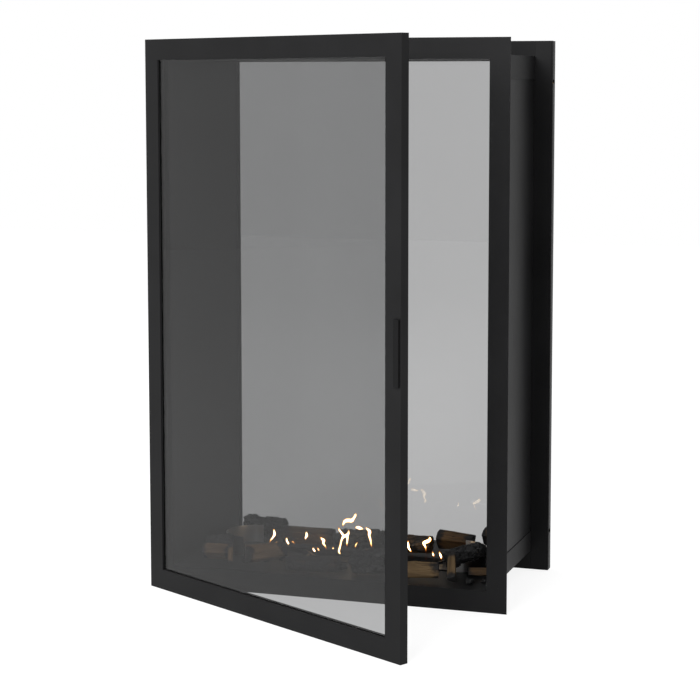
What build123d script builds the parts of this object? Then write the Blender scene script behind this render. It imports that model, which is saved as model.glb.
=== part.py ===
"""Double-sided built-in ethanol fireplace: a welded sheet casing with a trim frame and a glazed
steel door on each side, a sunken burner with a sliding shutter, and a bed of split and charred logs.

Frame: X across the openings, +Y from the front (the side with the open door) to the rear, +Z up.
The origin is the centre of the casing's underside, the face that stands on the sill of the wall.
The front door is modelled open, as it stands at rest; the rear door is modelled closed.
"""
from build123d import *
import math
import os

os.makedirs("parts", exist_ok=True)

# Overall sizes, in millimetres
frame_width = 800.0
frame_height = 1200.0
frame_depth = 392.0          # over the outer faces of the two trim frames
member_width = 44.0          # stiles and top rail of a trim frame
bottom_member = 46.0         # bottom rail of a trim frame
base_drop = 44.0             # from the casing's underside down to the lower edge of the frames
top_rise = 34.0              # from the casing's top up to the upper edge of the frames

# Casing
sheet = 2.0
trim_plate = 2.0
flange_inset = 3.0           # sides and top: the trim frame overhangs the casing's flanges
flange_inset_bottom = 6.0
bottom_return = 45.0         # how far the bottom tray folds up the side panels
top_return = 52.0            # how far the top tray folds down the side panels
seam_gap = 0.3
edge_round = 0.6
fit_gap = 0.05               # between stacked or nested pieces of one assembly

# Doors
door_thickness = 19.0
door_gap = 3.0               # from the trim frame to the closed door
door_end_gap = 0.5           # the door is this much shorter than the frame at each end
door_member = 44.0
door_face_plate = 3.0
door_wall = 2.0
cover_play = 0.2
glass_thickness = 4.0
gasket_thickness = 1.5
gasket_width = 8.0
glass_overlap = 10.0
door_rest_angle = 29.3       # the front door stands open this far
door_full_angle = 100.0

# Hinges
pin_from_edge = 7.0          # from the door's hinge edge to the pivot
pin_from_frame = 12.0        # from the trim frame's face to the pivot
pin_radius = 2.5
pin_clearance = 0.05
pin_short = 1.0              # the pin ends inside its bush by this much
lug_thickness = 6.0
lug_nose = 4.5
lug_from_end = 90.0          # from the frame's end to the middle of a lug
lug_pocket_gap = 1.2         # above and below a lug
lug_pocket_room = 1.8        # round the lug's nose, for the door at its full angle
bush_radius = 4.0
bush_length = 12.0
bush_collar = 1.6
collar_gap = 0.08
hinge_block_length = 16.0
hinge_block_reach = 6.0

# Handle: a solid bar with an undercut edge for the fingertips
handle_length = 130.0
handle_width = 14.5
handle_proud = 5.4
handle_from_edge = 2.4
handle_undercut = 3.4
handle_nose = 1.8
handle_round = 0.7
handle_stud_radius = 2.0
handle_stud_length = 5.0
handle_stud_spread = 82.0

# Fasteners, catches and pads of a door
screw_pitch = 270.0
screw_from_edge = 13.8
screw_radius = 2.0
screw_head_radius = 3.8
screw_head_height = 1.8
screw_play = 0.25
screw_engagement = 7.0
bore_spare = 1.5
standoff_radius = 4.0
catch_radius = 6.0
catch_from_end = 60.0
pad_radius = 5.0
pad_from_end = 24.0
pad_thickness = 2.4

# Burner
burner_side_gap = 54.0       # from the inner wall to the burner's rim
rim_width = 120.0
tank_width = 96.0
tank_wall = 1.2
tank_play = 0.5              # between the tank and the floor's cut-out
tank_depth = 40.0            # below the floor's upper face
rim_thickness = 1.5
deck_thickness = 1.5
mouth_from_end = 97.0        # from the rim's end to the end of the mouth
mouth_width = 26.0
mouth_lip_height = 5.0
mouth_lip_wall = 1.2
shutter_thickness = 1.2
shutter_gap = 0.3
shutter_overlap = 2.5        # the closed shutter covers the mouth by this much at each edge
shutter_end = 27.0           # the shutter runs past the mouth's end by this much
shutter_park = 2.2           # from the mouth's edge to the open shutter
knob_from_end = 10.0         # from the shutter's end to the knob
knob_radius = 6.0
knob_height = 8.0
knob_stem_radius = 2.5
knob_slot_gap = 0.6
knob_lift = 1.0              # from the deck to the knob's head
knob_round = 1.5
guide_foot = 9.0
guide_play = 0.6             # between the shutter's ends and the guides
guide_drop = 0.4             # between the shutter and the feet of the guides
guide_from_wall = 8.0
wool_height = 26.0
wool_gap = 3.0
guard_height = 42.0
guard_wall = 1.5
guard_gap = 1.0

# Places worked out from the sizes above
z_low = -base_drop
z_high = z_low + frame_height
casing_top = z_high - top_rise
floor_top = z_low + bottom_member
ceiling_under = z_high - member_width
half_width = frame_width / 2
half_depth = frame_depth / 2
inner_half = half_width - member_width
panel_outer = inner_half + sheet
tray_outer = panel_outer + sheet
flange_face = half_depth - trim_plate
flange_inner = flange_face - sheet


def block(x0, x1, y0, y1, z0, z1):
    """A box between two corners."""
    return Pos((x0 + x1) / 2, (y0 + y1) / 2, (z0 + z1) / 2) * Box(x1 - x0, y1 - y0, z1 - z0)


def upright_ring(outer, inner, y0, y1):
    """A flat rectangular ring that stands in the XZ plane, from y0 to y1.

    outer and inner are (x0, x1, z0, z1).
    """
    solid = block(outer[0], outer[1], y0, y1, outer[2], outer[3])
    hole = block(inner[0], inner[1], y0 - 1, y1 + 1, inner[2], inner[3])
    return solid - hole


def grown(rect, by):
    """A rectangle (x0, x1, z0, z1) made larger by the same amount on every side."""
    return (rect[0] - by, rect[1] + by, rect[2] - by, rect[3] + by)


def stadium(length, width, z0, z1):
    """A flat slot shape along X, from z0 to z1."""
    return Pos(0, 0, z0) * extrude(SlotOverall(length, width), z1 - z0)


def group(solids):
    """Separate solids that share one node."""
    return Compound([part for shape in solids for part in shape.solids()])


def turned_to_rear(shape):
    """The same piece for the rear side: half a turn about the vertical axis."""
    return Rot(0, 0, 180) * shape


def write(shape, node):
    export_step(shape, f"parts/{node}.step")


frame_rect = (-half_width, half_width, z_low, z_high)
opening_rect = (-inner_half, inner_half, floor_top, ceiling_under)


def trim_frame():
    """The one-piece plate that covers the casing's flanges, here the front one."""
    y_face = -half_depth
    ring = upright_ring(frame_rect, opening_rect, y_face, y_face + trim_plate)
    outer_edges = ring.edges().filter_by_position(Axis.Y, y_face, y_face).sort_by(Edge.length)[-4:]
    return chamfer(outer_edges, edge_round)


def side_panel():
    """The left side panel: a web with a full-height flange at the front and at the rear."""
    panel = block(-panel_outer, -inner_half, -flange_inner, flange_inner, floor_top, casing_top - sheet)
    outer_x = -half_width + flange_inset
    low = z_low + flange_inset_bottom
    high = z_high - flange_inset
    for side in (-1, 1):
        y0, y1 = sorted((side * flange_inner, side * flange_face))
        flange = block(outer_x, -inner_half, y0, y1, low, high)
        notch_x = -tray_outer - seam_gap
        lower_notch = block(notch_x, 0, y0 - 1, y1 + 1, low - 1, floor_top)
        upper_notch = block(notch_x, 0, y0 - 1, y1 + 1, casing_top - sheet, high + 1)
        panel = panel + (flange - lower_notch - upper_notch)
    return panel


def folded_tray(z_inside, z_outside, return_end, flange_end):
    """A tray with side returns and with flanges front and rear.

    z_inside is the face towards the firebox, z_outside the face away from it; return_end is where
    the side returns stop and flange_end is the free edge of the flanges.
    """
    z0, z1 = sorted((z_inside, z_outside))
    tray = block(-tray_outer, tray_outer, -flange_face, flange_face, z0, z1)
    for side in (-1, 1):
        x0, x1 = sorted((side * panel_outer, side * tray_outer))
        r0, r1 = sorted((z_outside, return_end))
        tray = tray + block(x0, x1, -flange_inner + seam_gap, flange_inner - seam_gap, r0, r1)
        y0, y1 = sorted((side * flange_inner, side * flange_face))
        f0, f1 = sorted((z_inside, flange_end))
        tray = tray + block(-tray_outer, tray_outer, y0, y1, f0, f1)
    return tray


def bottom_tray():
    """The floor, with the cut-out that the burner drops into."""
    tray = folded_tray(floor_top, 0.0, bottom_return, z_low + flange_inset_bottom)
    cut_length = burner_length - rim_width + tank_width + 2 * tank_play
    return tray - stadium(cut_length, tank_width + 2 * tank_play, -1, sheet + 1)


def top_tray():
    return folded_tray(casing_top - sheet, casing_top, casing_top - top_return, z_high - flange_inset)


def ceiling_liner():
    """The heat shield under the top tray, with its front and rear edges turned up."""
    x = inner_half - seam_gap
    liner = block(-x, x, -flange_face, flange_face, ceiling_under, ceiling_under + sheet)
    for side in (-1, 1):
        y0, y1 = sorted((side * flange_inner, side * flange_face))
        liner = liner + block(-x, x, y0, y1, ceiling_under, casing_top - sheet)
    return liner


burner_length = 2 * (inner_half - burner_side_gap)
mouth_length = burner_length - 2 * mouth_from_end
mouth_half = mouth_width / 2
rim_top = floor_top + rim_thickness
deck_top = rim_top + deck_thickness
shutter_top = rim_top - shutter_gap
shutter_width = mouth_width + 2 * shutter_overlap
shutter_length = mouth_length + 2 * shutter_end
shutter_open_y = mouth_half + shutter_park + shutter_width / 2
knob_x = mouth_length / 2 + shutter_end - knob_from_end


def burner_tank():
    """The fuel tank: a trough that hangs below the floor from its rim."""
    body_length = burner_length - rim_width + tank_width
    low = floor_top - tank_depth
    outer = stadium(body_length, tank_width, low, floor_top)
    rim = stadium(burner_length, rim_width, floor_top, rim_top)
    inside = stadium(body_length - 2 * tank_wall, tank_width - 2 * tank_wall, low + tank_wall, rim_top + 1)
    return outer + rim - inside


def burner_deck():
    """The cover of the tank: a plate with the flame mouth, its lip and the slot for the knob."""
    plate = stadium(burner_length, rim_width, rim_top, deck_top)
    lip_outer = stadium(mouth_length + 2 * mouth_lip_wall, mouth_width + 2 * mouth_lip_wall,
                        rim_top, deck_top + mouth_lip_height)
    mouth = stadium(mouth_length, mouth_width, rim_top - 1, deck_top + mouth_lip_height + 1)
    slot_half = knob_stem_radius + knob_slot_gap
    slot_length = shutter_open_y + 2 * slot_half
    knob_slot = Pos(knob_x, shutter_open_y / 2, rim_top - 1) * extrude(
        Rot(0, 0, 90) * SlotOverall(slot_length, 2 * slot_half), deck_thickness + 2)
    return plate + lip_outer - mouth - knob_slot


def burner_shutter():
    """The sliding plate under the deck, here parked behind the mouth."""
    return block(-shutter_length / 2, shutter_length / 2,
                 shutter_open_y - shutter_width / 2, shutter_open_y + shutter_width / 2,
                 shutter_top - shutter_thickness, shutter_top)


def shutter_knob():
    """The knob that moves the shutter, on a stem through the deck's slot."""
    stem = Pos(0, 0, shutter_top) * extrude(Circle(knob_stem_radius), deck_top - shutter_top + knob_lift)
    head = Pos(0, 0, deck_top + knob_lift) * extrude(Circle(knob_radius), knob_height)
    top_edge = head.edges().group_by(Axis.Z)[-1]
    return Pos(knob_x, shutter_open_y, 0) * (stem + fillet(top_edge, knob_round))


def burner_guides():
    """Two channels under the deck in which the shutter's ends slide."""
    half_run = tank_width / 2 - tank_wall - guide_from_wall
    foot_top = shutter_top - shutter_thickness - guide_drop
    foot_low = foot_top - tank_wall
    end = shutter_length / 2 + guide_play
    solids = []
    for side in (-1, 1):
        x0, x1 = sorted((side * end, side * (end + tank_wall)))
        web = block(x0, x1, -half_run, half_run, foot_low, rim_top)
        x0, x1 = sorted((side * (end - guide_foot), side * (end + tank_wall)))
        foot = block(x0, x1, -half_run, half_run, foot_low, foot_top)
        solids.append(web + foot)
    return group(solids)


def burner_wool():
    """The absorbent block that lies on the tank's floor."""
    low = floor_top - tank_depth + tank_wall
    body_length = burner_length - rim_width + tank_width
    cut = 2 * (tank_wall + wool_gap)
    return stadium(body_length - cut, tank_width - cut, low, low + wool_height)


def end_guard(side):
    """The half-round shield that stands on the floor round one end of the burner's rim."""
    centre = side * (burner_length - rim_width) / 2
    inner_radius = rim_width / 2 + guard_gap
    ring = Circle(inner_radius + guard_wall) - Circle(inner_radius)
    keep = Pos(side * inner_radius, 0) * Rectangle(2 * inner_radius, 4 * inner_radius)
    return Pos(centre, 0, floor_top) * extrude(ring & keep, guard_height)


# Door pieces, in the closed position at the front
door_back = -half_depth - door_gap
door_front = door_back - door_thickness
door_rect = (-half_width, half_width, z_low + door_end_gap, z_high - door_end_gap)
door_opening = grown(door_rect, -door_member)
gasket_front = door_front + door_face_plate + fit_gap
glass_front = gasket_front + gasket_thickness + fit_gap
glass_back = glass_front + glass_thickness
gasket_back = glass_back + fit_gap
cover_front = gasket_back + gasket_thickness + fit_gap
cover_inner = door_back - door_wall
hollow_front = door_front + door_face_plate + fit_gap
hollow_back = cover_inner - fit_gap
glass_rect = grown(door_opening, glass_overlap)
hinge_x = -half_width + pin_from_edge
hinge_y = -half_depth - pin_from_frame
lug_levels = (z_low + lug_from_end, z_high - lug_from_end)


def lug_pocket(level):
    """The space in a door's hinge corner that a lug needs from closed to fully open."""
    reach = lug_nose + lug_pocket_room
    return block(-half_width - 1, hinge_x + reach, hinge_y - reach, door_back + 1,
                 level - lug_thickness / 2 - lug_pocket_gap, level + lug_thickness / 2 + lug_pocket_gap)


def door_frame():
    """The pan of a door: the face plate with its outer return."""
    face = upright_ring(door_rect, door_opening, door_front, door_front + door_face_plate)
    outer_edges = face.edges().filter_by_position(Axis.Y, door_front, door_front).sort_by(Edge.length)[-4:]
    face = chamfer(outer_edges, edge_round)
    rim = upright_ring(door_rect, grown(door_rect, -door_wall), door_front + door_face_plate, door_back)
    pan = face + rim
    for level in lug_levels:
        pan = pan - lug_pocket(level)
    return pan - handle_studs(handle_stud_radius + fit_gap, 3 * door_face_plate)


def door_cover():
    """The inner frame that closes the pan and presses on the glass."""
    outer = grown(door_rect, -door_wall - cover_play)
    plate = upright_ring(outer, door_opening, cover_inner, door_back)
    lip = upright_ring(grown(door_opening, door_wall), door_opening, cover_front, cover_inner)
    foot = upright_ring(grown(door_opening, gasket_width), door_opening, cover_front, cover_front + door_wall)
    cover = plate + lip + foot
    for level in lug_levels:
        cover = cover - lug_pocket(level)
    for x, z in screw_places():
        hole = Cylinder(screw_radius + screw_play, door_wall + 2)
        cover = cover - Pos(x, door_back - door_wall / 2, z) * Rot(90, 0, 0) * hole
    return cover


def door_glass():
    return block(glass_rect[0], glass_rect[1], glass_front, glass_back, glass_rect[2], glass_rect[3])


def door_gaskets():
    """Two flat gaskets, before and behind the glass."""
    inner = door_opening
    outer = grown(door_opening, gasket_width)
    before = upright_ring(outer, inner, gasket_front, gasket_front + gasket_thickness)
    behind = upright_ring(outer, inner, gasket_back, gasket_back + gasket_thickness)
    return group([before, behind])


def screw_places():
    """Where the cover is screwed down: along a line near the door's outer edge."""
    x0, x1, z0, z1 = grown(door_rect, -screw_from_edge)
    across = max(2, round((x1 - x0) / screw_pitch))
    upward = max(2, round((z1 - z0) / screw_pitch))
    places = []
    for i in range(across + 1):
        x = x0 + (x1 - x0) * i / across
        places += [(x, z0), (x, z1)]
    for i in range(1, upward):
        z = z0 + (z1 - z0) * i / upward
        places += [(x0, z), (x1, z)]
    return places


def door_standoffs():
    """Threaded posts between the face plate and the cover, one for each screw."""
    length = hollow_back - hollow_front
    bore_length = screw_engagement + bore_spare
    post = Pos(0, hollow_front + length / 2, 0) * Rot(90, 0, 0) * Cylinder(standoff_radius, length)
    bore = Pos(0, hollow_back - bore_length / 2, 0) * Rot(90, 0, 0) * Cylinder(
        screw_radius + fit_gap, bore_length)
    return group([Pos(x, 0, z) * (post - bore) for x, z in screw_places()])


def door_screws():
    """Low-head screws through the cover into the standoffs."""
    seat = door_back + fit_gap
    shank_length = door_wall + fit_gap + screw_engagement
    head = Pos(0, seat + screw_head_height / 2, 0) * Rot(90, 0, 0) * Cylinder(
        screw_head_radius, screw_head_height)
    shank = Pos(0, seat - shank_length / 2, 0) * Rot(90, 0, 0) * Cylinder(screw_radius, shank_length)
    return group([Pos(x, 0, z) * (head + shank) for x, z in screw_places()])


def door_handle():
    """A bar with an undercut edge and two studs, near the door's free edge at mid height."""
    right = half_width - handle_from_edge
    left = right - handle_width
    outer = door_front - handle_proud
    seat = door_front - fit_gap
    outline = Polyline(
        (left, seat), (left, outer), (right, outer), (right, outer + handle_nose),
        (right - handle_undercut, seat), close=True)
    middle = (door_rect[2] + door_rect[3]) / 2
    bar = Pos(0, 0, middle - handle_length / 2) * extrude(make_face(outline), handle_length)
    front_edges = bar.edges().filter_by_position(Axis.Y, outer, outer)
    return fillet(front_edges, handle_round) + handle_studs(handle_stud_radius, handle_stud_length)


def handle_studs(radius, length):
    """Round pins behind the handle, as solids or as the holes they pass through."""
    x = half_width - handle_from_edge - handle_undercut - (handle_width - handle_undercut) / 2
    middle = (door_rect[2] + door_rect[3]) / 2
    y = door_front - fit_gap + length / 2
    stud = Rot(90, 0, 0) * Cylinder(radius, length)
    return [Pos(x, y, middle + side * handle_stud_spread / 2) * stud for side in (-1, 1)]


def block_span(level):
    """Where the bearing block beside a lug starts and ends, from the lug's face outwards."""
    away = 1 if level == lug_levels[0] else -1
    start = level + away * (lug_thickness / 2 + lug_pocket_gap)
    return away, start, start + away * hinge_block_length


def hinge_blocks():
    """Bearing blocks inside the hinge stile: above the lower lug and below the upper one."""
    solids = []
    for level in lug_levels:
        away, start, end = block_span(level)
        z0, z1 = sorted((start, end))
        x0 = -half_width + door_wall + fit_gap
        body = block(x0, hinge_x + hinge_block_reach, hollow_front, hollow_back, z0, z1)
        bore = Pos(hinge_x, hinge_y, (z0 + z1) / 2) * Cylinder(bush_radius + fit_gap, hinge_block_length + 2)
        solids.append(body - bore)
    return group(solids)


def hinge_bushes():
    """Collared bushes in the bearing blocks; the lower one carries the door on its lug."""
    solids = []
    for level in lug_levels:
        away, start, end = block_span(level)
        collar_end = level + away * (lug_thickness / 2 + collar_gap)
        bush_end = start + away * bush_length
        collar = Cylinder(bush_radius + bush_collar, abs(start - collar_end))
        sleeve = Cylinder(bush_radius, bush_length)
        bore = Cylinder(pin_radius + pin_clearance, 4 * bush_length)
        solid = Pos(0, 0, (start + collar_end) / 2) * collar + Pos(0, 0, (start + bush_end) / 2) * sleeve
        solids.append(Pos(hinge_x, hinge_y, 0) * (solid - Pos(0, 0, start) * bore))
    return group(solids)


def hinge_lug(level):
    """A lug on the trim frame that reaches into the door's pocket and holds the pin."""
    z0 = level - lug_thickness / 2
    arm = block(hinge_x - lug_nose, hinge_x + lug_nose, hinge_y, -half_depth, z0, z0 + lug_thickness)
    nose = Pos(hinge_x, hinge_y, level) * Cylinder(lug_nose, lug_thickness)
    bore = Pos(hinge_x, hinge_y, level) * Cylinder(pin_radius + fit_gap / 2, lug_thickness + 2)
    return arm + nose - bore


def hinge_pins():
    """Pins held in the lugs, each standing out into its bush."""
    solids = []
    for level in lug_levels:
        away = 1 if level == lug_levels[0] else -1
        start = level - away * lug_thickness / 2
        end = level + away * (lug_thickness / 2 + lug_pocket_gap + bush_length - pin_short)
        pin = Pos(hinge_x, hinge_y, (start + end) / 2) * Cylinder(pin_radius, abs(end - start))
        solids.append(pin)
    return group(solids)


def catch_places():
    """The catches sit near the free edge, at the top and at the bottom."""
    x = half_width - member_width / 2
    return [(x, z_low + catch_from_end), (x, z_high - catch_from_end)]


def catch_magnets():
    """Disc magnets let into the trim frame and the flange behind it."""
    solids = []
    for x, z in catch_places():
        solids.append(Pos(x, -half_depth + trim_plate / 2, z) * Rot(90, 0, 0) * Cylinder(catch_radius, trim_plate))
    return group(solids)


def drilled_trim():
    """The trim frame with the holes that hold the catch magnets."""
    frame = trim_frame()
    for x, z in catch_places():
        hole = Cylinder(catch_radius + fit_gap, trim_plate + 2)
        frame = frame - Pos(x, -half_depth + trim_plate / 2, z) * Rot(90, 0, 0) * hole
    return frame


def door_pads():
    """Soft pads on the back of the door that keep it off the trim frame."""
    solids = []
    for side in (-1, 1):
        for z in (z_low + pad_from_end, z_high - pad_from_end):
            x = side * (half_width - member_width / 2)
            solids.append(Pos(x, door_back + fit_gap + pad_thickness / 2, z) * Rot(90, 0, 0) * Cylinder(
                pad_radius, pad_thickness))
    return group(solids)


def swung_open(shape):
    """The front door's pieces stand open at rest, turned about the hinge pins."""
    hinge_axis = Axis((hinge_x, hinge_y, 0), (0, 0, 1))
    return shape.rotate(hinge_axis, -door_rest_angle)


door_pieces = {
    "door_frame": door_frame,
    "door_cover": door_cover,
    "door_glass": door_glass,
    "door_gaskets": door_gaskets,
    "door_standoffs": door_standoffs,
    "door_screws": door_screws,
    "door_handle": door_handle,
    "hinge_blocks": hinge_blocks,
    "hinge_bushes": hinge_bushes,
    "door_pads": door_pads,
}

write(bottom_tray(), "bottom_tray")
write(top_tray(), "top_tray")
write(side_panel(), "left_side_panel")
write(turned_to_rear(side_panel()), "right_side_panel")
write(drilled_trim(), "front_trim_frame")
write(turned_to_rear(drilled_trim()), "rear_trim_frame")
write(ceiling_liner(), "ceiling_liner")
write(burner_tank(), "burner_tank")
write(burner_deck(), "burner_deck")
write(burner_shutter(), "burner_shutter")
write(shutter_knob(), "shutter_knob")
write(burner_guides(), "burner_guides")
write(burner_wool(), "burner_wool")
write(end_guard(-1), "left_end_guard")
write(end_guard(1), "right_end_guard")

for name, level in zip(("lower", "upper"), lug_levels):
    write(hinge_lug(level), f"front_{name}_hinge_lug")
    write(turned_to_rear(hinge_lug(level)), f"rear_{name}_hinge_lug")
write(hinge_pins(), "front_hinge_pins")
write(turned_to_rear(hinge_pins()), "rear_hinge_pins")
write(catch_magnets(), "front_catch_magnets")
write(turned_to_rear(catch_magnets()), "rear_catch_magnets")

for name, build in door_pieces.items():
    piece = build()
    write(swung_open(piece), f"front_{name}")
    write(turned_to_rear(piece), f"rear_{name}")


# The log bed: one set of logs, cut to the space between the burner's rim and the trim frames.
# Each log gives its kind, where it lies, its two ends and its radius at each end. An end is
# (x, distance out from the rim's edge, height above what it lies on).
bed_design_room = 131.9
bed_design_half = 356.0
bed_edge_gap = 4.1
bed_scale = min((half_depth - rim_width / 2 - bed_edge_gap) / bed_design_room, inner_half / bed_design_half)
log_clearance = 0.5

# The two end shapes of a log, as shares of its radius
wedge_half = 0.88
wedge_left = 0.62
wedge_right = 0.55
wedge_lean = 0.06
wedge_bark = 0.97
wedge_ridge = 0.78
round_corners = 10
round_mean = 0.93
round_oval = 0.05
round_lump = 0.02

log_bed = {
    "charred_log_far_left": ("charred", "front", (-322, 38, 27), (-262, 18, 27), 26, 25, 20),
    "split_log_far_left": ("split", "front", (-304, 86, 22), (-242, 78, 22), 21, 20, 200),
    "stick_left": ("split", "front", (-228, 112, 10), (-230, 104, 50), 9, 8, 60),
    "split_log_left": ("split", "front", (-192, 112, 25), (-126, 52, 27), 25, 23, 215),
    "charred_log_front": ("charred", "front", (-98, 106, 20), (20, 98, 20), 20, 18, 0),
    "billet_front": ("split", "front", (-64, 72, 32), (-70, 18, 14), 11, 11, 90),
    "charred_log_middle": ("charred", "front", (40, 92, 27), (112, 68, 31), 26, 30, 40),
    "split_log_right": ("split", "front", (142, 102, 22), (236, 78, 20), 22, 20, 250),
    "stick_right": ("split", "front", (278, 112, 15), (264, 64, 58), 14, 12, 30),
    "charred_log_right": ("charred", "front", (238, 42, 30), (326, 10, 62), 26, 19, 10),
    "split_log_far_right": ("split", "front", (288, 30, 12), (340, 14, 12), 11.5, 11, 0),
    "charred_log_back_left": ("charred", "rear", (-300, 37, 31), (-198, 32, 31), 29, 27, 0),
    "split_log_back_left": ("split", "deck_rear", (-186, -20, 24), (-64, -14, 24), 23, 22, 180),
    "charred_log_back_middle": ("charred", "deck_rear", (-50, -12, 28), (58, -16, 27), 27, 26, 0),
    "charred_log_back_right": ("charred", "deck_rear", (66, -12, 24), (166, -8, 24), 23, 22, 70),
    "split_log_back_right": ("split", "rear", (168, 38, 27), (252, 34, 25), 26, 22, 190),
    "split_log_back_far_right": ("split", "rear", (276, 48, 34), (342, 40, 33), 33, 30, 180),
}


def log_end(zone, place):
    """The row position of a log's end, from its place in the bed."""
    x, out, height = place
    side = -1 if zone.endswith("front") else 1
    ground = deck_top if zone.startswith("deck") else floor_top
    y = side * (rim_width / 2 + bed_scale * out)
    return Vector(bed_scale * x, y, ground + bed_scale * height + log_clearance)


def log_outline(kind, radius):
    """The closed outline of a log's end: a wedge with a bark arc, or an uneven round."""
    if kind == "split":
        left = (-radius * wedge_half, -radius * wedge_left)
        right = (radius * wedge_half, -radius * wedge_right)
        crown = (radius * wedge_lean, -radius * wedge_bark)
        ridge = (2 * radius * wedge_lean, radius * wedge_ridge)
        return make_face(Polyline(right, ridge, left) + ThreePointArc(left, crown, right))
    corners = []
    for i in range(round_corners):
        turn = 2 * math.pi * i / round_corners
        reach = radius * (round_mean + round_oval * math.sin(2 * turn + 0.7) + round_lump * math.sin(5 * turn))
        corners.append((reach * math.cos(turn), reach * math.sin(turn)))
    return make_face(Polyline(*corners, close=True))


def log_solid(kind, zone, first, second, first_radius, second_radius, roll):
    """A log lofted between its two end outlines."""
    start = log_end(zone, first)
    end = log_end(zone, second)
    along = (end - start).normalized()
    level = Vector(0, 0, 1).cross(along).normalized()
    faces = []
    for place, radius in ((start, first_radius), (end, second_radius)):
        plane = Plane(origin=place, x_dir=level, z_dir=along)
        faces.append(plane * (Rot(0, 0, roll) * log_outline(kind, bed_scale * radius)))
    return loft(faces, ruled=True)


for name, values in log_bed.items():
    write(log_solid(*values), name)
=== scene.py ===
"""Looks of the double-sided ethanol fireplace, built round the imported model, in metres."""
import math
import random

import bmesh
import bpy
import numpy as np
from mathutils import Matrix, Vector, noise


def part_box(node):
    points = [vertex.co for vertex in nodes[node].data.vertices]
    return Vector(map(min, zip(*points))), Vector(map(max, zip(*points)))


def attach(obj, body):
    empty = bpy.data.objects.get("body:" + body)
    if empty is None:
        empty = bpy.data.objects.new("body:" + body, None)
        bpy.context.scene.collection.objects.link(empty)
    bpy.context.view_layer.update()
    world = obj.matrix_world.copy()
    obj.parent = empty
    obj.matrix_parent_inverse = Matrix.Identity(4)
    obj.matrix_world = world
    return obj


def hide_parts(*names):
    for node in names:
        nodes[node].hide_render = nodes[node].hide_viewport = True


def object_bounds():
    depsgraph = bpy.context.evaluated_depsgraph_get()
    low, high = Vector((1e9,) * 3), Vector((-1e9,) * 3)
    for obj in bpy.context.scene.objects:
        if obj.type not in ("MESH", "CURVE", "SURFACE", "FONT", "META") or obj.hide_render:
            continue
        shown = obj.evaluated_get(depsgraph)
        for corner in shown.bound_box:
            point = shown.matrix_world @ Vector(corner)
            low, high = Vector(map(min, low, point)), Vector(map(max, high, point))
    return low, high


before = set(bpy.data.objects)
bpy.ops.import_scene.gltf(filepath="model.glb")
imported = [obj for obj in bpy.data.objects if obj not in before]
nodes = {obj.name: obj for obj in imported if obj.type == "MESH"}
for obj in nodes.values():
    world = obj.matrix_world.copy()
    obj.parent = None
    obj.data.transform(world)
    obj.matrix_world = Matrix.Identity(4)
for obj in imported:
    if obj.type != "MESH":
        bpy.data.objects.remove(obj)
cad_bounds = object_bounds()
scene = bpy.context.scene
scene.view_settings.view_transform = "Standard"

MM = 1000.0                  # millimetres in a metre

# Camera
CAMERA_PLACE = (1.3511, -4.0431, 1.0633)
CAMERA_YAW = math.radians(18.213)
CAMERA_PITCH = math.radians(5.829)
CAMERA_LENS = 99.41
CAMERA_SHIFT = (-0.0193, -0.10)

# Room and light: each lamp's name, place, target, size and power
FLOOR_HALF = 9.0
FLOOR_DROP = 0.0003
FLOOR_WHITE = (0.86, 0.86, 0.86, 1)
FLOOR_SHADE = 0.34           # how much of its colour the floor keeps where it is seen, for the shadow
FLOOR_GLOW = 0.86            # what is added to it there
WORLD_LEVEL = 0.6
LAMPS = [
    ("key", (-0.4, -4.6, 2.6), (0, 0, 0.5), 2.2, 165.0),
    ("fill", (-3.0, 2.4, 2.6), (0, 0, 0.6), 2.0, 50.0),
]

# Colours, linear
COAT_BLACK = (0.0125, 0.0125, 0.013, 1)
HANDLE_BLACK = (0.007, 0.007, 0.0073, 1)
GLASS_TINT = (0.428, 0.430, 0.432, 1)
GLASS_FOR_LAMPS = (0.6, 0.6, 0.605, 1)
# Painted shade: the near-black laid into the cracks of charred wood and charcoal
CHAR_CRACK_SHADE = (0.002, 0.002, 0.002, 1)
# Painted shade: the dark brown laid into the cracks of split wood
SPLIT_CRACK_SHADE = (0.012, 0.008, 0.005, 1)

# Gloss
COAT_SHINE = 0.075
GLASS_IOR = 1.33


# Node helpers

def new_material(name):
    """A node material with its tree and its Principled shader."""
    made = bpy.data.materials.new(name)
    made.use_nodes = True
    return made, made.node_tree, made.node_tree.nodes["Principled BSDF"]


def put(tree, kind, **inputs):
    """A node of the kind with its inputs set by name, or by number as _0; a socket as value is linked."""
    made = tree.nodes.new("ShaderNode" + kind)
    for name, value in inputs.items():
        key = int(name[1:]) if name[0] == "_" else name.replace("_", " ")
        if isinstance(value, bpy.types.NodeSocket):
            tree.links.new(value, made.inputs[key])
        else:
            made.inputs[key].default_value = value
    return made


def calculate(tree, operation, first, second):
    """The result of a Math node."""
    made = put(tree, "Math", _0=first, _1=second)
    made.operation = operation
    return made.outputs[0]


def map_range(tree, value, low, high, start=0.0, end=1.0):
    """A number that runs from low to high as the value goes from start to end."""
    made = put(tree, "MapRange", Value=value, From_Min=start, From_Max=end, To_Min=low, To_Max=high)
    return made.outputs["Result"]


def mix_colours(tree, factor, first, second):
    """A colour between the two, by the factor."""
    return put(tree, "MixRGB", Fac=factor, Color1=first, Color2=second).outputs[0]


def ramp(tree, factor, stops):
    """A colour ramp through (place, colour) stops."""
    made = put(tree, "ValToRGB", Fac=factor)
    elements = made.color_ramp.elements
    while len(elements) < len(stops):
        elements.new(0.5)
    for element, (place, colour) in zip(elements, stops):
        element.position = place
        element.color = colour if len(colour) == 4 else (*colour, 1)
    return made.outputs["Color"]


def grey(level):
    """A grey of that level."""
    return (level, level, level, 1)


def shaded(colour, share):
    """The colour made darker or lighter."""
    return [c * share for c in colour[:3]]


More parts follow.
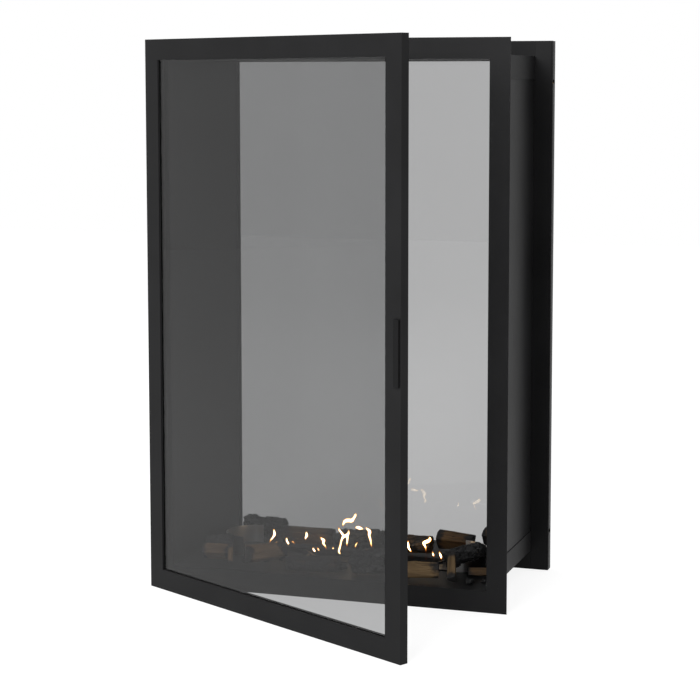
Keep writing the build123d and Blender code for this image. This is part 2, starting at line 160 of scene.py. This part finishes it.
def object_coordinates(tree, stretch=(1, 1, 1)):
    """The piece's own coordinates in metres, scaled by stretch."""
    place = put(tree, "TexCoord").outputs["Object"]
    return put(tree, "Mapping", Vector=place, Scale=stretch).outputs["Vector"]


def noise_at(tree, place, scale, detail):
    """A noise of that scale and detail at the coordinates."""
    return put(tree, "TexNoise", Vector=place, Scale=scale, Detail=detail).outputs["Fac"]


def attribute(tree, name, output):
    """What a mesh attribute holds."""
    made = tree.nodes.new("ShaderNodeAttribute")
    made.attribute_name = name
    return made.outputs[output]


def grain_noise(tree, grain, rate, detail, roughness=0.5):
    """A noise in a log's own coordinates, with a rate for each of its directions."""
    place = put(tree, "Mapping", Vector=grain, Scale=rate).outputs["Vector"]
    return put(tree, "TexNoise", Vector=place, Scale=1.0, Detail=detail, Roughness=roughness).outputs["Fac"]


def bump(tree, shader, height, distance, strength=1.0):
    """Joins a height to the shader's normal, distance in metres."""
    made = put(tree, "Bump", Height=height, Distance=distance, Strength=strength)
    tree.links.new(made.outputs["Normal"], shader.inputs["Normal"])


def colour_and_gloss(tree, shader, colour, roughness):
    """Joins a colour and a roughness to the shader."""
    tree.links.new(colour, shader.inputs["Base Color"])
    tree.links.new(roughness, shader.inputs["Roughness"])


def show(tree, closure):
    """Makes the closure what the surface shows."""
    tree.links.new(closure.outputs[0], tree.nodes["Material Output"].inputs["Surface"])


# Materials of the metal, glass and soft parts

def powder_coat(name, colour, roughness, grain):
    """Fine-textured black powder coat on sheet steel."""
    made, tree, shader = new_material(name)
    place = object_coordinates(tree)
    fine = noise_at(tree, place, grain, 2.0)
    broad = noise_at(tree, place, 7.0, 3.0)
    tint = ramp(tree, broad, [(0.3, shaded(colour, 0.86)), (0.7, shaded(colour, 1.14))])
    colour_and_gloss(tree, shader, tint, map_range(tree, broad, roughness - 0.05, roughness + 0.05))
    shader.inputs["Specular IOR Level"].default_value = COAT_SHINE
    bump(tree, shader, fine, 0.00004, 0.6)
    return made


def tinted_glass(name, shade):
    """Grey glass that lets lamp light through."""
    made, tree, shader = new_material(name)
    haze = noise_at(tree, object_coordinates(tree), 3.0, 4.0)
    middle = shaded(GLASS_TINT, shade)
    tint = ramp(tree, haze, [(0.3, shaded(middle, 0.985)), (0.7, shaded(middle, 1.015))])
    tree.links.new(tint, shader.inputs["Base Color"])
    shader.inputs["Roughness"].default_value = 0.0
    shader.inputs["IOR"].default_value = GLASS_IOR
    shader.inputs["Transmission Weight"].default_value = 1.0
    clear = put(tree, "BsdfTransparent", Color=GLASS_FOR_LAMPS)
    light = put(tree, "LightPath")
    through = calculate(tree, "MAXIMUM", light.outputs["Is Shadow Ray"], light.outputs["Is Diffuse Ray"])
    show(tree, put(tree, "MixShader", _0=through, _1=shader.outputs[0], _2=clear.outputs[0]))
    return made


def brushed_steel(name, colour, roughness):
    """Stainless sheet with fine brush lines round it and a trace of heat tint near the fire."""
    made, tree, shader = new_material(name)
    lines = noise_at(tree, object_coordinates(tree, (1, 1, 60)), 45.0, 4.0)
    broad = noise_at(tree, object_coordinates(tree), 22.0, 2.0)
    warm = [c * share for c, share in zip(colour, (0.92, 0.84, 0.74))]
    tint = ramp(tree, broad, [(0.35, colour), (0.75, warm)])
    colour_and_gloss(tree, shader, tint, map_range(tree, lines, roughness - 0.08, roughness + 0.1))
    shader.inputs["Metallic"].default_value = 1.0
    bump(tree, shader, lines, 0.00003, 0.5)
    return made


def plain_metal(name, colour, roughness, grain):
    """Turned or plated metal with fine tool marks."""
    made, tree, shader = new_material(name)
    marks = noise_at(tree, object_coordinates(tree), grain, 3.0)
    tint = ramp(tree, marks, [(0.3, shaded(colour, 0.8)), (0.7, colour)])
    colour_and_gloss(tree, shader, tint, map_range(tree, marks, roughness - 0.08, roughness + 0.08))
    shader.inputs["Metallic"].default_value = 1.0
    bump(tree, shader, marks, 0.00002, 0.5)
    return made


def soft_black(name, weave_scale, roughness):
    """Black woven tape or rubber."""
    made, tree, shader = new_material(name)
    place = object_coordinates(tree)
    weave = put(tree, "TexWave", Vector=place, Scale=weave_scale, Distortion=1.5, Detail=2.0)
    weave.bands_direction = "DIAGONAL"
    tint = ramp(tree, weave.outputs["Fac"], [(0.2, (0.008, 0.008, 0.008)), (0.8, (0.022, 0.022, 0.023))])
    tree.links.new(tint, shader.inputs["Base Color"])
    shader.inputs["Roughness"].default_value = roughness
    shader.inputs["Specular IOR Level"].default_value = 0.25
    bump(tree, shader, weave.outputs["Fac"], 0.0001, 0.7)
    return made


def fibre_wool(name):
    """Off-white ceramic wool, scorched in places."""
    made, tree, shader = new_material(name)
    strands = noise_at(tree, object_coordinates(tree, (1, 3, 5)), 320.0, 6.0)
    scorch = noise_at(tree, object_coordinates(tree), 26.0, 4.0)
    tint = ramp(tree, scorch, [(0.38, (0.16, 0.13, 0.10)), (0.62, (0.55, 0.53, 0.49))])
    tree.links.new(tint, shader.inputs["Base Color"])
    shader.inputs["Roughness"].default_value = 0.95
    bump(tree, shader, strands, 0.0008)
    return made


# Materials of the logs and flames

def charred_wood(name, ash, brown):
    """Burnt wood: black blocks parted by cracks, with grey ash and, where it is less burnt, brown; the
    cracks carry painted shade that darkens them to near black.
    """
    made, tree, shader = new_material(name)
    grain = attribute(tree, "grain", "Vector")
    crack = attribute(tree, "crack", "Fac")
    tone = attribute(tree, "tone", "Fac")
    patches = grain_noise(tree, grain, (14, 30, 30), 5.0)
    fibres = grain_noise(tree, grain, (90, 900, 900), 4.0)
    coal = ramp(tree, fibres, [(0.3, (0.0030, 0.0030, 0.0033)), (0.7, (0.0135, 0.0135, 0.0145))])
    dusty = ramp(tree, fibres, [(0.3, (0.035, 0.037, 0.040)), (0.7, (0.125, 0.128, 0.135))])
    toast = ramp(tree, fibres, [(0.3, (0.022, 0.013, 0.007)), (0.7, (0.105, 0.062, 0.030))])
    by_block = calculate(tree, "ADD", patches, map_range(tree, tone, -0.14, 0.14))
    ashy = map_range(tree, by_block, 0.0, 1.0, 0.80 - 0.42 * ash, 1.0 - 0.42 * ash)
    browned = map_range(tree, by_block, 0.0, 1.0, 0.16 + 0.5 * brown, 0.02 + 0.5 * brown)
    surface = mix_colours(tree, browned, mix_colours(tree, ashy, coal, dusty), toast)
    # Painted shade: the cracks are darkened to near black
    surface = mix_colours(tree, crack, surface, CHAR_CRACK_SHADE)
    colour_and_gloss(tree, shader, surface, map_range(tree, fibres, 0.55, 0.85))
    shader.inputs["Specular IOR Level"].default_value = 0.4
    bump(tree, shader, fibres, 0.0008, 0.9)
    return made


def split_wood(name, pale, dark, end_colour):
    """Split wood: fibres along the log, rings on its sawn ends, scorched patches, and painted shade that
    darkens its cracks.
    """
    made, tree, shader = new_material(name)
    grain = attribute(tree, "grain", "Vector")
    char = attribute(tree, "char", "Fac")
    end = attribute(tree, "end", "Fac")
    crack = attribute(tree, "crack", "Fac")
    fibres = grain_noise(tree, grain, (25, 420, 420), 5.0, 0.6)
    streaks = grain_noise(tree, grain, (9, 55, 55), 3.0)
    middle = [(a + b) / 2 for a, b in zip(pale, dark)]
    face = ramp(tree, fibres, [(0.28, dark), (0.5, middle), (0.74, pale)])
    shade = ramp(tree, streaks, [(0.3, grey(0.55)), (0.7, grey(1.1))])
    streaked = put(tree, "MixRGB", Fac=1.0, Color1=face, Color2=shade)
    streaked.blend_type = "MULTIPLY"
    rings = put(tree, "TexWave", Vector=grain, Scale=95.0, Distortion=2.2, Detail=2.0)
    rings.wave_type = "RINGS"
    rings.rings_direction = "X"
    cut = ramp(tree, rings.outputs["Fac"], [(0.1, shaded(end_colour, 0.62)), (0.9, end_colour)])
    burnt = ramp(tree, fibres, [(0.3, (0.005, 0.005, 0.006)), (0.7, (0.022, 0.021, 0.020))])
    surface = mix_colours(tree, end, streaked.outputs[0], cut)
    surface = mix_colours(tree, char, surface, burnt)
    # Painted shade: the cracks are darkened to dark brown
    surface = mix_colours(tree, crack, surface, SPLIT_CRACK_SHADE)
    colour_and_gloss(tree, shader, surface, map_range(tree, fibres, 0.62, 0.85))
    shader.inputs["Specular IOR Level"].default_value = 0.3
    bump(tree, shader, fibres, 0.0005, 0.8)
    return made


def flame_glow(name):
    """Flame: orange where it is thin, yellow-white where it is thick, clear at its ends."""
    made, tree, shader = new_material(name)
    warmth = attribute(tree, "warmth", "Fac")
    colour = ramp(tree, warmth, [(0.0, (0.9, 0.16, 0.02)), (0.4, (1.0, 0.40, 0.07)),
                                 (0.75, (1.0, 0.74, 0.32)), (1.0, (1.0, 0.88, 0.62))])
    level = map_range(tree, calculate(tree, "POWER", warmth, 1.8), 0.6, 17.0)
    glow = put(tree, "Emission", Color=colour, Strength=level)
    clear = put(tree, "BsdfTransparent", Color=grey(1.0))
    solid = map_range(tree, warmth, 0.03, 0.98, 0.0, 0.9)
    show(tree, put(tree, "MixShader", _0=solid, _1=clear.outputs[0], _2=glow.outputs[0]))
    tree.nodes.remove(shader)
    return made


# Object helpers

def paint(piece, made):
    """Gives the piece that one material."""
    piece.data.materials.clear()
    piece.data.materials.append(made)


def add_object(name, data):
    """A new object in the scene."""
    made = bpy.data.objects.new(name, data)
    scene.collection.objects.link(made)
    return made


def finished_mesh(build, name):
    """Turns the bmesh into a mesh."""
    mesh = bpy.data.meshes.new(name)
    build.to_mesh(mesh)
    build.free()
    return mesh


def vertex_vectors(mesh, kind):
    """The places or the normals of the mesh's vertices, one row each."""
    values = np.zeros(len(mesh.vertices) * 3, np.float32)
    mesh.vertices.foreach_get(kind, values)
    return values.reshape(-1, 3)


def keep_vectors(mesh, name, values):
    """Stores a vector for each vertex."""
    made = mesh.attributes.new(name, "FLOAT_VECTOR", "POINT")
    made.data.foreach_set("vector", np.asarray(values, np.float32).ravel())


def keep_numbers(mesh, name, values):
    """Stores a number for each vertex."""
    made = mesh.attributes.new(name, "FLOAT", "POINT")
    made.data.foreach_set("value", np.asarray(values, np.float32))


def smooth_step(low, high, value):
    """0 below low, 1 above high, with a smooth rise between."""
    t = min(1.0, max(0.0, (value - low) / (high - low)))
    return t * t * (3 - 2 * t)


# Finishes of the CAD nodes, by what their names hold; the first that fits counts

coat = powder_coat("powder_coat", COAT_BLACK, 0.42, 900.0)
handle_coat = powder_coat("handle_coat", HANDLE_BLACK, 0.36, 1200.0)
inner_coat = powder_coat("inner_coat", COAT_BLACK, 0.5, 700.0)
glass = tinted_glass("tinted_glass", 0.97)
front_glass = tinted_glass("front_glass", 1.05)
stainless = brushed_steel("stainless", (0.46, 0.46, 0.46), 0.3)
zinc = plain_metal("black_zinc", (0.10, 0.10, 0.105), 0.4, 400.0)
pin_steel = plain_metal("pin_steel", (0.52, 0.52, 0.53), 0.28, 500.0)
bronze = plain_metal("bronze", (0.42, 0.25, 0.10), 0.34, 500.0)
tape = soft_black("gasket_tape", 420.0, 0.95)
rubber = soft_black("rubber", 900.0, 0.6)
wool = fibre_wool("ceramic_wool")

FINISHES = [
    ("front_door_glass", front_glass),
    ("_glass", glass),
    ("_handle", handle_coat),
    ("_gaskets", tape),
    ("_pads", rubber),
    ("_screws", zinc),
    ("_standoffs", zinc),
    ("_bushes", bronze),
    ("_pins", pin_steel),
    ("end_guard", stainless),
    ("burner_wool", wool),
    ("bottom_tray", inner_coat),
    ("top_tray", inner_coat),
    ("ceiling_liner", inner_coat),
    ("burner", inner_coat),
    ("shutter", inner_coat),
]


def finish_of(name):
    """The finish that a CAD node's name asks for."""
    for part, made in FINISHES:
        if part in name:
            return made
    return coat


for name, piece in nodes.items():
    paint(piece, finish_of(name))


# Logs

coal_look = charred_wood("charred_a", 0.25, 0.1)
ashy_look = charred_wood("charred_b", 0.55, 0.25)
toasted_look = charred_wood("charred_c", 0.1, 0.55)
scorched_look = charred_wood("scorched", 0.0, 1.0)
tan_look = split_wood("split_a", (0.34, 0.205, 0.105), (0.12, 0.065, 0.030), (0.40, 0.26, 0.15))
brown_look = split_wood("split_b", (0.150, 0.088, 0.040), (0.050, 0.028, 0.012), (0.24, 0.155, 0.085))
honey_look = split_wood("split_c", (0.25, 0.165, 0.080), (0.095, 0.058, 0.026), (0.30, 0.21, 0.12))

# Each log's look, the depth of its cracks in mm and, for a split log, how far in its ends are charred
LOGS = {
    "charred_log_far_left": (coal_look, 3.6),
    "split_log_far_left": (tan_look, 0.8, 0.25),
    "stick_left": (tan_look, 0.5, 0.1),
    "split_log_left": (tan_look, 0.8, 0.2),
    "charred_log_front": (toasted_look, 1.6),
    "billet_front": (tan_look, 0.5, 0.15),
    "charred_log_middle": (ashy_look, 4.4),
    "split_log_right": (honey_look, 0.8, 0.15),
    "stick_right": (honey_look, 0.5, 0.4),
    "charred_log_right": (coal_look, 6.5),
    "split_log_far_right": (brown_look, 0.6, 0.3),
    "charred_log_back_left": (coal_look, 6.0),
    "split_log_back_left": (brown_look, 0.8, 0.35),
    "charred_log_back_middle": (coal_look, 6.0),
    "charred_log_back_right": (scorched_look, 1.6),
    "split_log_back_right": (brown_look, 0.8, 0.3),
    "split_log_back_far_right": (brown_look, 0.9, 0.5),
}

VOXEL = 0.0014
MOST_OUTWARD = 2.5           # mm
MOST_INWARD = 11.0           # mm

# How often each relief repeats along, across and up through a log, per metre
FIBRE_RATE = (16, 300, 300)
KNOB_RATE = (24, 40, 40)
SWELL_RATE = (17, 28, 28)
BLOCK_RATE = (46, 78, 78)
FINE_BLOCK_RATE = (120, 170, 170)
SPLIT_RATE = (7, 95, 95)
LUMP_BLOCK_RATE = (90, 180, 180)
LUMP_ROUGH_RATE = (160, 160, 160)
FRACTAL = (0.8, 2.0, 4)      # dimension, lacunarity, octaves
TONE_SPREAD = 7.3


def at_rate(place, rate, seed):
    """Where a point lies in a noise that repeats at the rate."""
    return Vector(a * b for a, b in zip(place, rate)) + seed


def block_tone(centre):
    """A tone from 0 to 1 that is the same all over one block of char."""
    return 0.5 + 0.5 * noise.noise(centre * TONE_SPREAD)


def fine_copy(piece, name):
    """A closed, evenly meshed copy of a CAD node."""
    made = add_object(name, piece.data.copy())
    remesh = made.modifiers.new("fine", "REMESH")
    remesh.mode = "VOXEL"
    remesh.voxel_size = VOXEL
    bpy.context.view_layer.update()
    dense = bpy.data.meshes.new_from_object(made.evaluated_get(bpy.context.evaluated_depsgraph_get()))
    made.modifiers.clear()
    made.data = dense
    return made


def carve(name, look, depth, charred_ends=None):
    """A detailed log in place of its CAD node, with cracks and fibres cut in, its shape and place kept."""
    burnt = charred_ends is None
    seed = Vector((sum(map(ord, name)) % 97, len(name), 0))
    made = fine_copy(nodes[name], name + "_wood")
    mesh = made.data
    places = vertex_vectors(mesh, "co")
    normals = vertex_vectors(mesh, "normal")
    middle = places.mean(0)
    along = np.linalg.svd(places - middle, full_matrices=False)[2][0]
    side = np.cross(along, (0, 0, 1))
    side /= np.linalg.norm(side)
    up = np.cross(side, along)
    local = (places - middle) @ np.stack([along, side, up], 1)
    half = np.abs(local[:, 0]).max()
    lowest = places[:, 2].min()
    facing_end = np.abs(normals @ along)
    inward, cracks, ends, chars, tones = (np.zeros(len(places), np.float32) for _ in range(5))
    for i, place in enumerate(local):
        out_along = abs(place[0]) / half
        fibre = noise.noise(at_rate(place, FIBRE_RATE, seed))
        knob = noise.fractal(at_rate(place, KNOB_RATE, seed), *FRACTAL)
        is_end = smooth_step(0.72, 0.92, facing_end[i])
        if burnt:
            warp = Vector((knob, -knob, knob)) * 0.5
            edge, centres = noise.voronoi(at_rate(place, BLOCK_RATE, seed) + warp)
            fine_edge = noise.voronoi(at_rate(place, FINE_BLOCK_RATE, seed) + warp)[0]
            crack = 1 - smooth_step(0.02, 0.2, edge[1] - edge[0])
            fine = 1 - smooth_step(0.0, 0.22, fine_edge[1] - fine_edge[0])
            tones[i] = block_tone(centres[0])
            blocks = crack + 0.28 * fine + 0.5 * tones[i] * (1 - crack)
            swell = noise.noise(at_rate(place, SWELL_RATE, -seed))
            burnt_off = smooth_step(0.66, 1.0, out_along) * (0.7 + knob)
            inward[i] = depth * (blocks + 0.9 * knob + 1.5 * swell + 1.5 * burnt_off) + 0.35 * fibre
            crack = max(crack, 0.5 * fine)
        else:
            line = noise.noise(at_rate(place, SPLIT_RATE, seed))
            crack = (1 - smooth_step(0.0, 0.06, abs(line))) * smooth_step(0.0, 0.3, knob + 0.2) * 0.85
            step = smooth_step(-0.04, 0.04, line) * 0.9 + smooth_step(0.18, 0.24, line) * 0.7
            inward[i] = depth * (0.9 * abs(fibre) + 0.8 * crack + step * (1 - is_end) + 0.6 * knob)
            clean = 1 - charred_ends
            chars[i] = smooth_step(clean - 0.18, clean + 0.1, out_along + 0.3 * knob)
            tones[i] = 0.5 + 0.5 * line
        cracks[i] = crack
        ends[i] = is_end
    places -= normals * np.clip(inward, -MOST_OUTWARD, MOST_INWARD)[:, None] * 0.001
    places[:, 2] = np.maximum(places[:, 2], lowest)
    mesh.vertices.foreach_set("co", places.ravel())
    mesh.shade_smooth()
    keep_vectors(mesh, "grain", local + np.array(seed) * 0.37)
    # Where the cracks are; the wood materials darken them there as painted shade
    keep_numbers(mesh, "crack", cracks)
    keep_numbers(mesh, "end", ends)
    keep_numbers(mesh, "char", chars)
    keep_numbers(mesh, "tone", tones)
    mesh.update()
    paint(made, look)
    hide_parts(name)
    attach(made, "casing")


for name, look in LOGS.items():
    carve(name, *look)


# Loose lumps of charcoal on the tray: place across, place from front to rear, and radius, in mm

LUMPS = [
    (-207, -105, 10), (-214, -122, 8), (-172, -98, 9), (-146, -78, 7), (-92, -110, 8), (-38, -110, 9),
    (-12, -98, 10), (14, -120, 9), (124, -84, 8), (154, -106, 10), (186, -100, 9), (200, -112, 6),
    (308, -148, 10), (332, -124, 8), (-155, 112, 10), (-112, 120, 9), (-70, 105, 9), (-22, 122, 11),
    (32, 106, 8), (92, 118, 11), (134, 120, 8), (222, 152, 9), (-242, 152, 9),
]
LUMP_LOOKS = [coal_look, ashy_look, toasted_look]
LUMP_FACETS = 13
LUMP_FOOT = 0.6              # the flat underside's distance from the middle, as a share of the radius
LUMP_REACH = 1.15            # the farthest corner, as a share of the radius
LUMP_ROUGHNESS = 0.9         # mm
FIRST_LUMP_SEED = 900
TRAY_FLOOR = 2.0             # mm, the tray's upper side


def charcoal(index, x, y, radius):
    """A broken, flat-bottomed lump of charcoal, lying on the tray's floor."""
    rng = random.Random(FIRST_LUMP_SEED + index)
    cuts = [(Vector((0, 0, -1)), LUMP_FOOT)]
    for _ in range(LUMP_FACETS):
        facing = Vector((rng.gauss(0, 1), rng.gauss(0, 1), rng.gauss(0, 1))).normalized()
        cuts.append((facing, rng.uniform(0.62, 0.95)))
    stretch = Vector((rng.uniform(1.0, 1.45), rng.uniform(0.75, 1.05), rng.uniform(0.7, 0.95)))
    turn = rng.uniform(0, math.pi)
    seed = Vector((index * 3.7, 1.3, 0))
    build = bmesh.new()
    bmesh.ops.create_icosphere(build, subdivisions=5, radius=1.0)
    grains, cracks, tones = [], [], []
    for vertex in build.verts:
        out = vertex.co.normalized()
        reach = min(far / max(0.05, out.dot(facing)) for facing, far in cuts)
        spot = out * min(reach, LUMP_REACH)
        place = Vector(a * b for a, b in zip(spot, stretch)) * radius / MM
        edge, centres = noise.voronoi(at_rate(place, LUMP_BLOCK_RATE, seed))
        crack = 1 - smooth_step(0.02, 0.25, edge[1] - edge[0])
        rough = noise.fractal(at_rate(place, LUMP_ROUGH_RATE, seed), *FRACTAL)
        place -= out * (LUMP_ROUGHNESS * crack + LUMP_ROUGHNESS * abs(rough)) / MM
        vertex.co = place
        grains.append(place + seed)
        cracks.append(0.8 * crack)
        tones.append(block_tone(centres[0]))
    lift = TRAY_FLOOR / MM - min(vertex.co.z for vertex in build.verts)
    bmesh.ops.rotate(build, verts=build.verts, matrix=Matrix.Rotation(turn, 3, "Z"))
    bmesh.ops.translate(build, verts=build.verts, vec=(x / MM, y / MM, lift))
    mesh = finished_mesh(build, f"charcoal_{index:02d}")
    mesh.shade_smooth()
    keep_vectors(mesh, "grain", grains)
    # Where the cracks are; the charred looks darken them there as painted shade
    keep_numbers(mesh, "crack", cracks)
    keep_numbers(mesh, "tone", tones)
    made = add_object(mesh.name, mesh)
    paint(made, LUMP_LOOKS[index % len(LUMP_LOOKS)])
    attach(made, "casing")


for index, lump in enumerate(LUMPS):
    charcoal(index, *lump)


# Flames: where each one's foot is along the burner in mm, how high it starts, and its line as
# (across, up, radius) in mm from there

FLAMES = [
    (-205, 17, [(0, 0, 0.8), (3, 8, 1.8), (8, 14, 2.4), (12, 22, 3.4), (11, 31, 2.0), (10, 36, 0.4)]),
    (-185, 17, [(0, 0, 0.5), (0, 4, 2.0), (1, 8, 0.5)]),
    (-160, 15, [(0, 0, 0.6), (0, 5, 2.2), (-3, 10, 2.3), (-4, 15, 2.0), (-4, 20, 0.4)]),
    (-142, 18, [(0, 0, 0.5), (-1, 6, 1.1), (-5, 9, 1.3), (-9, 8, 0.4)]),
    (-115, 32, [(0, 0, 0.6), (0, 6, 2.3), (3, 12, 3.3), (2, 18, 2.2), (4, 21, 0.5)]),
    (-93, 4, [(0, 0, 0.5), (-2, 4, 2.1), (-5, 9, 2.1), (-4, 14, 0.4)]),
    (-85, 7, [(0, 0, 0.4), (-1, 4, 1.7), (-4, 9, 1.1), (-3, 11, 0.4)]),
    (-65, 14, [(0, 0, 0.6), (-3, 8, 1.8), (-8, 15, 3.0), (-7, 21, 4.2), (-12, 25, 2.4), (-16, 30, 0.5)]),
    (-49, 15, [(0, 0, 0.5), (0, 4, 1.8), (0, 8, 0.4)]),
    (-32, 5, [(0, 0, 1.2), (-4, 8, 2.8), (-1, 20, 2.5), (2, 33, 2.6), (7, 42, 4.0), (14, 45, 4.3),
              (19, 52, 2.8), (18, 60, 0.5)]),
    (-25, 47, [(0, 0, 2.4), (-4, 6, 3.0), (-10, 14, 2.2), (-14, 23, 0.5)]),
    (-17, 22, [(0, 0, 0.6), (0, 10, 1.9), (1, 20, 2.8), (1, 27, 3.4)]),
    (-27, 69, [(0, 0, 0.7), (1, 6, 2.3), (5, 13, 4.3), (13, 16, 5.4), (21, 16, 4.9), (26, 22, 3.5),
               (30, 29, 3.1), (30, 34, 0.6)]),
    (3, 70, [(0, 0, 0.7), (5, 1, 3.3), (11, 0, 4.2), (17, -1, 2.2), (20, -1, 0.5)]),
    (44, 25, [(0, 0, 0.5), (-2, 8, 1.6), (-4, 20, 2.6), (-7, 31, 3.5), (-6, 39, 4.3), (-12, 45, 2.6),
              (-17, 48, 0.5)]),
    (2, 20, [(0, 0, 0.5), (-1, 6, 1.5), (2, 12, 1.5), (6, 17, 0.4)]),
    (31, 16, [(0, 0, 0.5), (0, 4, 1.6), (0, 8, 0.4)]),
    (134, 22, [(0, 0, 0.5), (-3, 4, 1.7), (-7, 10, 2.3), (-9, 19, 2.5), (-9, 28, 0.5)]),
    (168, 25, [(0, 0, 0.5), (-1, 12, 1.8), (-5, 22, 3.4), (3, 26, 4.0), (9, 31, 3.4), (7, 38, 0.6)]),
    (185, 15, [(0, 0, 0.5), (-2, 6, 1.9), (-4, 15, 0.4)]),
    (201, 10, [(0, 0, 0.6), (-1, 8, 2.3), (-4, 15, 1.6), (-5, 21, 0.4)]),
    (208, 20, [(0, 0, 0.4), (1, 3, 1.1), (0, 6, 0.4)]),
]
FLAME_SIDES = 14
STEPS_PER_POINT = 7
FLAME_FLATTEN = 0.7          # depth of a flame as a share of its width
FLAME_SWAY = 6               # mm a flame may stand before or behind the burner's middle
THINNEST = 0.2               # mm
CLEAR_RADIUS = 0.55          # mm, a flame this thin or thinner gives no light
FULL_OVER = 1.6              # mm over that, a flame gives its full light
EVEN_LIGHT = 0.55            # the share of its light that a flame gives at any width
WIDTH_LIGHT = 0.45           # the share that comes with its width
SHEATH_WARMTH = 0.4
CORE_SHARE = 0.62            # width of the bright core as a share of the flame's
ROOTED_BELOW = 30            # mm, a flame that starts lower than this has a root in the burner
ROOT_RADIUS = 0.5            # mm
MOUTH_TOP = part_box("burner_deck")[1].z
ROOT_SINK = 0.001


def curve_point(points, t):
    """A point on the smooth line through the points, t from 0 to 1."""
    run = t * (len(points) - 1)
    i = min(int(run), len(points) - 2)
    f = run - i
    before, a, b, after = (Vector(points[max(0, min(len(points) - 1, i + k))]) for k in (-1, 0, 1, 2))
    return 0.5 * (2 * a + (b - before) * f + (2 * before - 5 * a + 4 * b - after) * f ** 2
                  + (3 * a - before - 3 * b + after) * f ** 3)


def tube(build, layer, points, depth, share, warmth):
    """A closed tube of changing width along the points, share of their radius wide."""
    steps = STEPS_PER_POINT * len(points)
    widest = max(p[2] for p in points)
    rings = []
    for k in range(steps + 1):
        t = k / steps
        x, z, r = curve_point(points, t)
        ahead = curve_point(points, min(1.0, t + 0.01)) - curve_point(points, max(0.0, t - 0.01))
        across = Vector((ahead.y, 0, -ahead.x)).normalized()
        r = max(THINNEST, r)
        light = EVEN_LIGHT + WIDTH_LIGHT * r / widest
        fullness = min(1.0, max(0.0, (r - CLEAR_RADIUS) / FULL_OVER)) * light
        centre = Vector((x, depth, z))
        ring = []
        for j in range(FLAME_SIDES):
            a = 2 * math.pi * j / FLAME_SIDES
            offset = across * math.cos(a) * r + Vector((0, math.sin(a) * r * FLAME_FLATTEN, 0))
            vertex = build.verts.new((centre + offset * share) / MM)
            vertex[layer] = fullness * warmth
            ring.append(vertex)
        rings.append(ring)
    for lower, upper in zip(rings, rings[1:]):
        for j in range(FLAME_SIDES):
            build.faces.new((lower[j], lower[j - 1], upper[j - 1], upper[j]))
    build.faces.new(rings[0])
    build.faces.new(reversed(rings[-1]))


def flame(index, foot, lift, line, glow):
    """One tongue of flame, a bright core in an orange sheath, with a thin clear root down to the burner."""
    depth = random.Random(index).uniform(-FLAME_SWAY, FLAME_SWAY)
    points = [(foot + x, lift + z, r) for x, z, r in line]
    if lift < ROOTED_BELOW:
        points = [(foot, (MOUTH_TOP - ROOT_SINK) * MM, ROOT_RADIUS)] + points
    build = bmesh.new()
    layer = build.verts.layers.float.new("warmth")
    tube(build, layer, points, depth, 1.0, SHEATH_WARMTH)
    tube(build, layer, points, depth, CORE_SHARE, 1.0)
    bmesh.ops.recalc_face_normals(build, faces=build.faces)
    mesh = finished_mesh(build, f"flame_{index:02d}")
    mesh.shade_smooth()
    made = add_object(mesh.name, mesh)
    paint(made, glow)
    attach(made, "casing")


fire = flame_glow("flame")
for index, (foot, lift, line) in enumerate(FLAMES):
    flame(index, foot, lift, line, fire)


# Room

def sees_background(tree):
    """1 for rays that show the background: from the camera, mirrored or through glass."""
    light = put(tree, "LightPath")
    direct = calculate(tree, "MAXIMUM", light.outputs["Is Camera Ray"], light.outputs["Is Glossy Ray"])
    return calculate(tree, "MAXIMUM", direct, light.outputs["Is Transmission Ray"])


def studio_floor(level):
    """A wide white floor that keeps the object's shadow."""
    build = bmesh.new()
    bmesh.ops.create_grid(build, x_segments=8, y_segments=8, size=FLOOR_HALF)
    made = add_object("floor", finished_mesh(build, "floor"))
    made.location = (0, 0, level)
    material, tree, shader = new_material("floor_white")
    mottle = noise_at(tree, object_coordinates(tree), 4.0, 3.0)
    tint = ramp(tree, mottle, [(0.3, shaded(FLOOR_WHITE, 0.985)), (0.7, FLOOR_WHITE)])
    seen = sees_background(tree)
    lit = put(tree, "VectorMath", _0=tint)
    lit.operation = "SCALE"
    tree.links.new(map_range(tree, seen, 1.0, FLOOR_SHADE), lit.inputs["Scale"])
    matt = put(tree, "BsdfDiffuse", Color=lit.outputs[0])
    share = calculate(tree, "MULTIPLY", seen, FLOOR_GLOW)
    glow = put(tree, "Emission", Color=grey(1.0), Strength=share)
    show(tree, put(tree, "AddShader", _0=matt.outputs[0], _1=glow.outputs[0]))
    tree.nodes.remove(shader)
    paint(made, material)


def studio_world():
    """An even white surround: full white where it is seen, softer where it lights."""
    world = bpy.data.worlds.new("surround")
    world.use_nodes = True
    tree = world.node_tree
    back = tree.nodes["Background"]
    back.inputs["Color"].default_value = grey(1.0)
    tree.links.new(map_range(tree, sees_background(tree), WORLD_LEVEL, 1.0), back.inputs["Strength"])
    scene.world = world


def soft_lamp(name, place, target, size, power):
    """A square soft box aimed at a point."""
    data = bpy.data.lights.new(name, "AREA")
    data.shape = "SQUARE"
    data.size = size
    data.energy = power
    made = add_object(name, data)
    made.location = place
    made.rotation_euler = (Vector(target) - Vector(place)).to_track_quat("-Z", "Y").to_euler()


def studio_camera():
    """The photograph's camera."""
    data = bpy.data.cameras.new("camera")
    data.lens = CAMERA_LENS
    data.shift_x, data.shift_y = CAMERA_SHIFT
    made = add_object("camera", data)
    level = Vector((-math.sin(CAMERA_YAW), math.cos(CAMERA_YAW), 0))
    ahead = level * math.cos(CAMERA_PITCH) - Vector((0, 0, math.sin(CAMERA_PITCH)))
    turned = ahead.to_track_quat("-Z", "Y").to_matrix().to_4x4()
    made.matrix_world = Matrix.Translation(CAMERA_PLACE) @ turned
    scene.camera = made


studio_floor(cad_bounds[0].z - FLOOR_DROP)
studio_world()
for lamp in LAMPS:
    soft_lamp(*lamp)
studio_camera()
